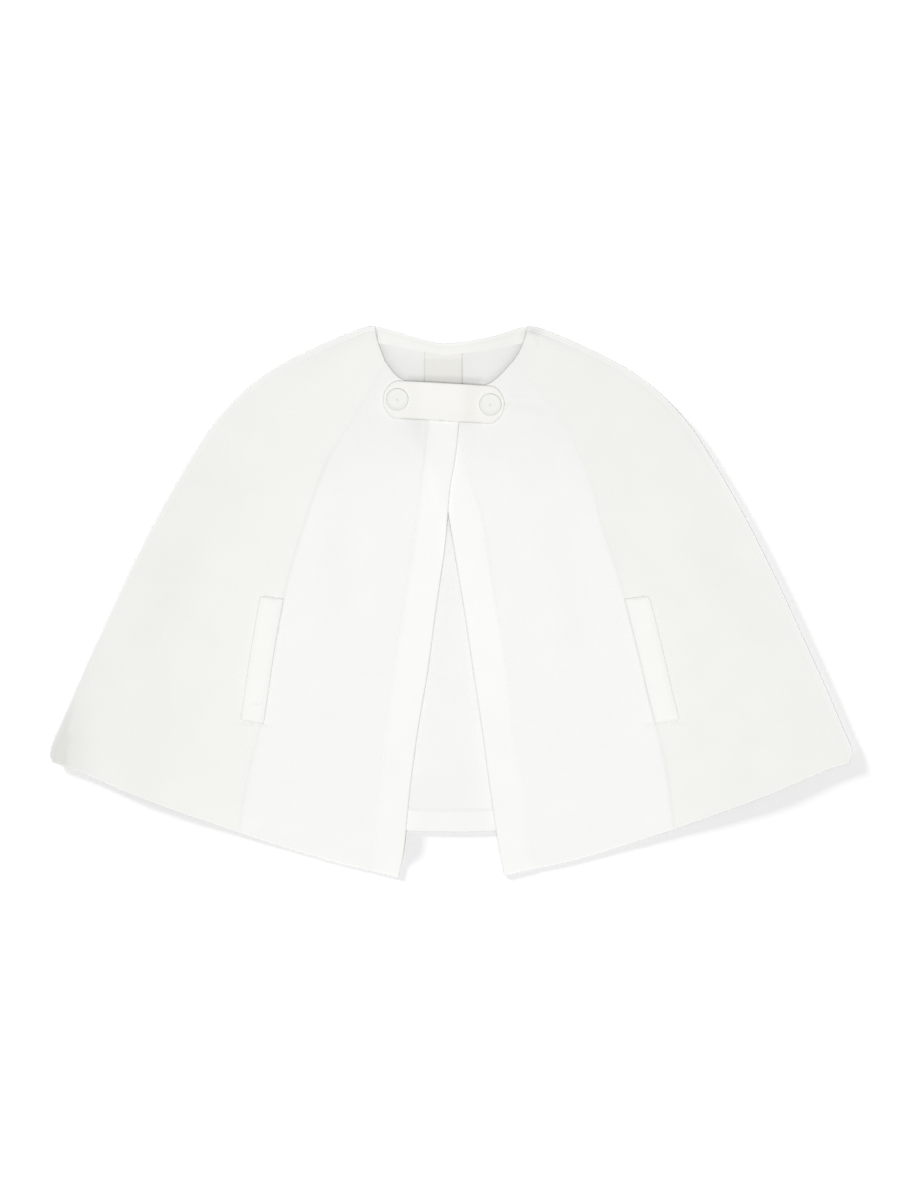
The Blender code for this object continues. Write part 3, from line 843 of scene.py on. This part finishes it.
def side_tone(across, up):
    """The side panels carry painted shade, deepening away from the front seams and towards the fold, most
    at the right one's corner.
    """
    from_fold = np.clip(across_at(SIDE_FOLD, up) - np.abs(across), 0.0, None)
    low = soft(up, SIDE_LOW)
    tones = {}
    for side in SIDES:
        from_seam = np.clip(np.abs(across) - across_at(FRONT_SEAM[side], up), 0.0, None)
        amount, reach, height, fade = SIDE_BY_SEAM[side]
        by_seam = amount * smooth_step(1.0 - from_seam / reach) * smooth_step((height - up) / fade)
        amount, more, reach = SIDE_BY_FOLD[side]
        by_fold = (amount + more * low) * smooth_step(1.0 - from_fold / reach)
        tones[side] = SIDE_TONE[side] + by_seam + soft(up, SIDE_UPPER[side]) - by_fold
    # Painted shade at the right corner, and at the left shoulder
    heights, *columns = zip(*CORNER_SHADE)
    depth, dark, fade = (np.interp(up, heights, column) for column in columns)
    past = from_fold - dark
    tones["right"] -= depth * (1.0 - (smooth_step(past / CORNER_EDGE) + smooth_step(past / fade)) / 2)
    aside, over = (place - middle for place, middle in zip((across, up), SHOULDER_PLACE))
    tones["left"] -= SHOULDER_DARK * bell(aside, SHOULDER_REACH[0]) * bell(over, SHOULDER_REACH[1])
    return np.where(across < 0, tones["right"], tones["left"])


def welt_shade(side, across, up):
    """The painted shade in a soft dark line on the cloth all round a welt."""
    inner_edge, outer_edge = welt_edges(side)
    near = distance_to(np.array([*inner_edge, *outer_edge[::-1], inner_edge[0]]), across, up)
    return WELT_EDGE_SHADE * bell(near, WELT_SOFT)


def neck_edge():
    """The edge of the fronts round the neck and the upper edge of the tab, as one line."""
    line = []
    for side, order in (("right", 1), ("left", -1)):
        seam = mirrored(FRONT_SEAM[side], side)[0]
        line += [*SIDE_NECK[side], seam, *FRONT_NECK[side]][::order]
        if side == "right":
            line += [tab_point(place, TAB_HALF) for place in (-TAB_STRAIGHT, TAB_STRAIGHT)]
    return np.array(line)


def distance_to(line, across, up):
    """How far points are from a line of straight parts."""
    points = np.stack([across, up], axis=-1)
    nearest = np.full(across.shape, np.inf)
    for start, end in zip(line, line[1:]):
        run = end - start
        place = np.clip(((points - start) @ run) / (run @ run), 0.0, 1.0)
        gap = np.linalg.norm(points - start - place[..., None] * run, axis=-1)
        nearest = np.minimum(nearest, gap)
    return nearest


def neck_shade(across, up):
    """The deep shade on the inside just above the tab, a little wider to the wearer's left."""
    along_tab, over = tab_place(across, up)
    over = np.clip(over - TAB_HALF, 0.0, None)
    reach = NECK_SHADE_REACH + NECK_SHADE_LEAN * along_tab
    return soft(np.abs(along_tab), NECK_SHADE) * np.exp(-(over / reach) ** 6)


def below_neckline(across, up):
    """How far points are under the back's neckline."""
    line = smooth_curve(BACK_NECK)
    return np.interp(across, line[:, 0], line[:, 1]) - up


def inner_tone(across, up):
    """The inside of the back carries painted shade, deepest in the neck, under its edge and above the tab,
    and a little just above the hem facing, with a painted highlight along its neckline.
    """
    tone = 1.0 - soft(up, BACK_MIDDLE) - soft(up, BACK_UPPER)
    tone -= (BACK_LOWEST_DEPTH + soft(across, BACK_LOWEST_RIGHT)) * soft(up, BACK_LOWEST)
    near = distance_to(neck_edge(), across, up)
    edge = sum(depth * bell(near, reach) for depth, reach in NECK_EDGE_SHADES)
    tone -= np.where(up > NECK_FROM, np.maximum(edge, neck_shade(across, up)), 0.0)
    below = below_neckline(across, up)
    tone += soft(below, NECK_HIGHLIGHT) + soft(across, BACK_LEFT)
    past_facing = np.clip(below - NECK_FACING_DEPTH, 0.0, None)
    return tone + bell(past_facing, BELOW_FACING_REACH) * soft(across, BACK_NECK_RIGHT)


def facing_tone(across, up):
    """The neck facing is paler at its upper edge, and on the wearer's right."""
    return FACING_TONE - soft(across, FACING_LEFT) + soft(below_neckline(across, up), FACING_EDGE)


def label_tone(across, up):
    """The label is pale above its fold and darker towards the tab with painted shade, with a dark line
    down each side.
    """
    tone = 1.0 - soft(up, LABEL_LOW) - neck_shade(across, up) + soft(up, LABEL_FOLD)
    for edge, depth in LABEL_LINES:
        tone -= depth * bell(across - edge, LINE_WIDTH)
    return tone


def tab_tone(across, up):
    """The tab is palest in the middle, with short dark lines of painted shadow along its lower edge."""
    along_tab, over = tab_place(across, up)
    tone = 1.0 - soft(along_tab, TAB_RIGHT) - soft(along_tab, TAB_LEFT) - soft(over, TAB_LOW)
    line = bell(over + TAB_HALF, LINE_WIDTH)
    for start, end, depth in TAB_LINES:
        begun = smooth_step((along_tab - start) / TAB_LINE_END)
        tone -= depth * line * begun * smooth_step((end - along_tab) / TAB_LINE_END)
    return tone


def fold_frame(rows):
    """Points of the side fold and the directions straight out of it, at shares of its length."""
    points = along(SIDE_FOLD, rows)
    nudge = 0.004
    run = along(SIDE_FOLD, np.minimum(rows + nudge, 1.0)) - along(SIDE_FOLD, np.maximum(rows - nudge, 0.0))
    run /= np.linalg.norm(run, axis=1)[:, None]
    return points, np.column_stack([-run[:, 1], run[:, 0]])


def fold_line(side, rows, inset, lean=CORNER_LEAN):
    """A line along the side fold, moved in from it, as (across, up).

    Towards the hem the points of the upper layer lean down with their inset, which rounds the corner.
    """
    points, outward = fold_frame(rows)
    to_end = (1.0 - rows) * length_of(SIDE_FOLD)
    slide = lean * inset * (1.0 - smooth_step(to_end / CORNER_LENGTH))
    down = np.column_stack([outward[:, 1], -outward[:, 0]])
    return np.array(mirrored(points - outward * np.reshape(inset, (-1, 1)) + down * slide[:, None], side))


def dense_fold(side, inset, lean=CORNER_LEAN):
    """The side fold's inset line as a table."""
    rows = np.concatenate([np.linspace(0.0, 0.9, 50), np.linspace(0.91, 1.0, 19)])
    return [tuple(point) for point in fold_line(side, rows, inset, lean)]


def back_rows(length):
    """Shares down the back: close in the neck and at the hem, wider between them."""
    edge = np.array(EDGE_POINTS)
    neck = np.arange(edge[-1] + NECK_STEP, NECK_LENGTH, NECK_STEP)
    count = round((length - NECK_LENGTH - edge[-1]) / BACK_STEP)
    low = np.linspace(NECK_LENGTH, length - edge[-1], count)[:-1]
    return np.concatenate([edge, neck, low, length - edge[::-1]]) / length


def make_back(material):
    """The back, which wraps up round each side fold to a seam on the front."""
    first = dense_fold("right", FOLD_RADIUS, 0.0)
    last = dense_fold("left", FOLD_RADIUS, 0.0)
    bottom = [(across, back_hem_up(across)) for across in (-HALF_WIDTH / 2, 0.0, HALF_WIDTH / 2)]
    length = (length_of(first) + length_of(last)) / 2
    rows = back_rows(length)
    plan, from_sides = patch(first, last, BACK_NECK, bottom, BACK_STEP, rows)
    across, up = plan[..., 0], plan[..., 1]
    upper_drop, lower_drop = edge_drop(from_sides, {"top": "free", "bottom": "free"}, CLOTH, up)
    leaf_in = np.dstack([plan, CLOTH - upper_drop])
    leaf_out = np.dstack([plan, lower_drop])
    end_drop = lower_drop[:, 0]
    rings_in = {side: [] for side in SIDES}
    rings_out = {side: [] for side in SIDES}
    for side in SIDES:
        rims = []
        for turn in range(1, FOLD_TURNS + 1):
            angle = math.pi * (turn / FOLD_TURNS - 0.5)
            for rings, reach in (
                (rings_in, FOLD_RADIUS - CLOTH + end_drop),
                (rings_out, FOLD_RADIUS - end_drop),
            ):
                lean = CORNER_LEAN if angle > 0 else 0.0
                out = reach * math.cos(angle) ** FOLD_SQUARENESS
                rise = reach * math.copysign(abs(math.sin(angle)) ** FOLD_SQUARENESS, angle)
                ring = fold_line(side, rows, FOLD_RADIUS - out, lean)
                rings[side].append(np.column_stack([ring, FOLD_RADIUS + rise])[:, None])
            from_fold = FOLD_RADIUS * (1.0 - math.cos(angle) ** FOLD_SQUARENESS)
            # A painted highlight on the fold's rim, brightest at its outermost turn
            rims.append(soft(from_fold, FOLD_HIGHLIGHT))
        for step in FOLD_SEAM_STEPS:
            rims.append(0.0)
            inset = FOLD_RADIUS + (SEAM_INSET - FOLD_RADIUS) * step
            ring = fold_line(side, rows, inset)
            depth = np.interp(ring[:, 1], *zip(*FOLD_SEAM_DEPTH[side]))
            nick = SEAM_NICK * depth * bell(SEAM_INSET - inset, SEAM_REACH / 2)
            rings_in[side].append(np.column_stack([ring, FOLD_Z + end_drop])[:, None])
            upper = FOLD_Z + CLOTH - nick - end_drop
            rings_out[side].append(np.column_stack([ring, upper])[:, None])
    inner = np.hstack([*rings_in["right"][::-1], leaf_in, *rings_in["left"]])
    outer = np.hstack([*rings_out["right"][::-1], leaf_out, *rings_out["left"]])
    inside = inner_tone(inner[..., 0], inner[..., 1])
    rim = np.concatenate([rims[::-1], np.zeros(plan.shape[1]), rims])
    outside = side_tone(outer[..., 0], outer[..., 1]) + rim
    made = shell("back_panel_cloth", inner, outer, [inside, outside], material)
    dress(made, "back_panel")


def long_piece(node, lines, seams, under, cloth, looks):
    """A piece that runs from the neck to the hem: its two sides, neckline and hem, and its seams."""
    grid = patch(*lines, rows=LONG_ROWS)
    kinds = {"first": seams[0], "last": seams[1], "top": "free", "bottom": "hem"}
    panel(node, grid, kinds, under, cloth, looks)


def beside_welt(tone, side):
    """A tone with the painted shade in a soft dark line round a side's welt."""
    return lambda across, up: tone(across, up) - welt_shade(side, across, up)


def make_side(side, material):
    """One side panel, from the front seam to the seam inside the fold."""
    seam = mirrored(FRONT_SEAM[side], side)
    fold = dense_fold(side, SEAM_INSET)
    lines = (seam, fold, SIDE_NECK[side][::-1], mirrored(SIDE_HEM, side))
    seams = (FRONT_SEAM_DEPTH[side], FOLD_SEAM_DEPTH[side])
    looks = (material, beside_welt(side_tone, side))
    long_piece(f"side_panel_{side}", lines, seams, side_under(side), CLOTH, looks)


def make_front(side, material):
    """One front, between its band and the seam over the breast."""
    seam = mirrored(FRONT_SEAM[side], side)
    lines = (BAND_SEAM[side], seam, FRONT_NECK[side][::-1], mirrored(FRONT_HEM, side))
    seams = (BAND_SEAM_DEPTH[side], FRONT_SEAM_DEPTH[side])
    looks = (material, beside_welt(front_tone, side))
    long_piece(f"front_panel_{side}", lines, seams, FRONT_UNDER[side], CLOTH, looks)


def make_band(side, material):
    """One front band, from the front edge to its seam."""
    lines = (FRONT_EDGE[side], BAND_SEAM[side], [], [])
    seams = ("free", BAND_SEAM_DEPTH[side])
    looks = (material, band_tone)
    long_piece(f"front_band_{side}", lines, seams, FRONT_UNDER[side], BAND_CLOTH, looks)


def welt_edges(side):
    """The long edges of a welt, which lies on the side panel along the front seam."""
    inner_edge = []
    outer_edge = []
    for share in WELT_SHARES:
        up = WELT_TOP + (WELT_BOTTOM - WELT_TOP) * share
        inner = float(across_at(FRONT_SEAM[side], up)) - WELT_OVERLAP[side] * share
        cut = WELT_CORNER * (max(0.0, 1.0 - min(share, 1.0 - share) / WELT_SHARES[2])) ** 2
        inner_edge.append((SIDES[side] * inner, up))
        outer_edge.append((SIDES[side] * (inner + WELT_WIDTH[side] - cut), up + WELT_SLANT))
    return inner_edge, outer_edge


def make_welt(side, material):
    """The welt of a hand slit."""
    inner_edge, outer_edge = welt_edges(side)
    grid = patch(inner_edge, outer_edge, [], [], WELT_STEP)

    def under(across, up):
        return side_under(side)(across, up) + CLOTH + LAY_GAP

    panel(f"welt_{side}", grid, "pressed", under, WELT_CLOTH, (material, None))


def tab_point(length_along, across):
    """A point of the tab on the plan, from its middle."""
    x = TAB_CENTRE[0] + length_along * math.cos(TAB_TURN) - across * math.sin(TAB_TURN)
    y = TAB_CENTRE[1] + length_along * math.sin(TAB_TURN) + across * math.cos(TAB_TURN)
    return x, y


def make_tab(material):
    """The tab that holds the fronts together at the neck, its corners cut away."""
    half = TAB_LENGTH / 2
    lengths = (fine_shares(TAB_LENGTH, TAB_STEP) - 0.5) * TAB_LENGTH
    end_line = smooth_curve(TAB_END)
    half_widths = np.interp(half - np.abs(lengths), end_line[:, 0], end_line[:, 1])
    shares = fine_shares(2 * TAB_HALF, TAB_STEP) * 2 - 1
    aside = shares[:, None] * half_widths[None]
    x, y = tab_point(lengths[None] + 0 * aside, aside)
    plan = np.dstack([x, y])
    from_edge = half_widths[None] - np.abs(aside)
    from_ends = (half - np.abs(lengths))[None] + 0 * aside
    from_sides = {"first": from_ends, "last": from_ends, "top": from_edge, "bottom": from_edge}
    looks = (material, tab_tone)
    grid = (plan, from_sides)
    panel("neck_tab", grid, "free", tab_under, TAB_CLOTH, looks)


def lowered(line, depth):
    """A line moved down the cape."""
    return [(across, up - depth) for across, up in line]


def strip_under(across, up):
    """The underside of what lies on the inside of the back."""
    return CLOTH + STRIP_GAP


def inner_strip(node, upper, lower, edges, looks):
    """A thin strip on the inside of the back, between two lines, with one kind of edge."""
    grid = patch(upper, lower, [], [], STRIP_STEP)
    panel(node, grid, edges, strip_under, FACING_CLOTH, looks)


def label_under(across, up):
    """The underside of the label, which stands off the back along its loose sides."""
    beside = np.minimum((across - LABEL_LEFT) * LABEL_STEEPNESS, LABEL_RIGHT - across)
    return strip_under(across, up) + soft(up, LABEL_CURL) * bell(beside, LABEL_CURL_REACH)


def make_inside(facing, hem_facing, label):
    """The facings and the bare label on the inside of the back."""
    line = lowered(BACK_NECK, FACING_INSET)
    lower = []
    for across, up in line:
        spread = NECK_FACING_SPREAD * (across / NECK_HALF) ** 2
        lower.append((across, up - NECK_FACING_DEPTH - spread))
    inner_strip("back_neck_facing", line, lower, "flat", (facing, facing_tone))
    across = np.linspace(-HEM_FACING_HALF, HEM_FACING_HALF, 5)
    hem = list(zip(across, back_hem_up(across)))
    line = lowered(hem, -HEM_FACING_DEPTH - FACING_INSET)
    lower = lowered(line, HEM_FACING_DEPTH)
    inner_strip("back_hem_facing", line, lower, "crisp", (hem_facing, None))
    line = smooth_curve(lowered(BACK_NECK, NECK_FACING_DEPTH))
    places = (LABEL_LEFT, (LABEL_LEFT + LABEL_RIGHT) / 2, LABEL_RIGHT)
    left, middle, right = [(x, float(np.interp(x, line[:, 0], line[:, 1]))) for x in places]
    first = [left, (LABEL_LEFT, LABEL_BOTTOM)]
    last = [right, (LABEL_RIGHT, LABEL_BOTTOM)]
    grid = patch(first, last, [middle], [], LABEL_STEP)
    kinds = {"first": "free", "last": "free", "top": "flat", "bottom": "free"}
    looks = (label, label_tone)
    panel("neck_label", grid, kinds, label_under, LABEL_CLOTH, looks)


def make_button(side, material):
    """A turned button with a soft rim and a small dimple, where its solid is."""
    low, high = (Vector(corner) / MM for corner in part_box(f"button_{side}"))
    centre = (low + high) / 2
    radius = (high.x - low.x) / 2
    height = high.z - low.z
    profile = smooth_curve(BUTTON_PROFILE, BUTTON_SPAN)[1:-1]
    shape = bmesh.new()
    rings = []
    for out, rise in profile:
        ring = []
        reach = radius * max(out, BUTTON_CENTRE)
        for corner in range(BUTTON_SIDES):
            angle = 2 * math.pi * corner / BUTTON_SIDES
            x = centre.x + reach * math.cos(angle)
            y = centre.y + reach * math.sin(angle)
            ring.append(shape.verts.new((x * MM, y * MM, (low.z + height * rise) * MM)))
        rings.append(ring)
    for lower, upper in zip(rings, rings[1:]):
        for corner in range(BUTTON_SIDES):
            after = (corner + 1) % BUTTON_SIDES
            shape.faces.new((lower[corner], lower[after], upper[after], upper[corner]))
    shape.faces.new(rings[0][::-1])
    shape.faces.new(rings[-1])
    name = f"button_{side}_body"
    made = finished(name, shape, bpy.data.meshes.new(name), material)
    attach(made, "root")
    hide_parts(f"button_{side}")


def make_floor():
    """A plain pale floor under the cape."""
    bpy.ops.mesh.primitive_plane_add(size=FLOOR_SIZE, location=(0.0, 0.0, 0.0))
    floor = bpy.context.active_object
    floor.name = "floor"
    floor.data.materials.append(floor_material())
    return floor


def make_lamp(name, place, angle, light):
    """A soft distant lamp in the direction of a place, which gives a flat white surface its light."""
    data = bpy.data.lights.new(name, "SUN")
    data.angle = angle
    place = Vector(place)
    data.energy = light * math.pi * place.length / place.z
    lamp = bpy.data.objects.new(name, data)
    lamp.location = place
    lamp.rotation_euler = (-place).to_track_quat("-Z", "Y").to_euler()
    bpy.context.scene.collection.objects.link(lamp)
    return lamp


def make_light(floor):
    """Even light from all round and overhead, and two lamps on the floor, one low for its shadow."""
    world = bpy.data.worlds.new("studio")
    world.use_nodes = True
    background = world.node_tree.nodes["Background"]
    background.inputs["Color"].default_value = (1.0, 1.0, 1.0, 1.0)
    background.inputs["Strength"].default_value = WORLD_LIGHT
    bpy.context.scene.world = world
    make_lamp("overhead", OVERHEAD_PLACE, OVERHEAD_ANGLE, OVERHEAD_LIGHT)
    lit = bpy.data.collections.new("floor_light")
    lit.objects.link(floor)
    for name, (place, angle) in FLOOR_LAMPS.items():
        lamp = make_lamp(name, place, angle, FLOOR_LIGHT)
        lamp.light_linking.receiver_collection = lit
    bpy.context.scene.view_settings.view_transform = "Standard"
    bpy.context.scene.view_settings.look = "None"


def make_camera():
    """A long lens straight above, which sees the photograph's frame."""
    data = bpy.data.cameras.new("camera")
    data.sensor_fit = "VERTICAL"
    data.sensor_height = SENSOR
    data.lens = SENSOR * CAMERA_HEIGHT / (FRAME_PIXELS[1] * PIXEL)
    camera = bpy.data.objects.new("camera", data)
    across = (FRAME_PIXELS[0] / 2 - MIDDLE_PIXEL[0]) * PIXEL
    up = (MIDDLE_PIXEL[1] - FRAME_PIXELS[1] / 2) * PIXEL
    camera.location = (across * MM, up * MM, CAMERA_HEIGHT * MM)
    bpy.context.scene.collection.objects.link(camera)
    bpy.context.scene.camera = camera


def main():
    """The dressed cape on its floor."""
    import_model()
    make_camera()
    make_light(make_floor())
    front = wool("front_wool", (0.856, 0.855, 0.84))
    # The sides' wool is darker than the fronts': painted shade for the sides sloping away from the light,
    # with their nap lying another way
    side_wool_shaded = wool("side_wool_shaded", (0.835, 0.84, 0.81), nap=(0.5, 0.8, 1.0))
    # The bands' wool is paler than the fronts': painted light, as the bands lie proud of the fronts
    band = wool("band_wool", (0.872, 0.872, 0.852))
    inner = wool("inner_wool", (0.846, 0.846, 0.828))
    welt = wool("welt_wool", (0.868, 0.866, 0.844))
    tab = wool("tab_wool", (0.854, 0.848, 0.815), nap=(0.4, 1.0, 1.0))
    facing = wool("facing_wool", (0.82, 0.82, 0.79))
    hem_facing = wool("hem_facing_wool", (0.856, 0.855, 0.838))
    label = satin_label("label_satin", (0.77, 0.765, 0.73))
    button = moulded("button_plastic", (0.706, 0.712, 0.677))
    make_back(inner)
    make_inside(facing, hem_facing, label)
    for side in SIDES:
        make_side(side, side_wool_shaded)
        make_front(side, front)
        make_band(side, band)
        make_welt(side, welt)
    make_tab(tab)
    for side in SIDES:
        make_button(side, button)


main()
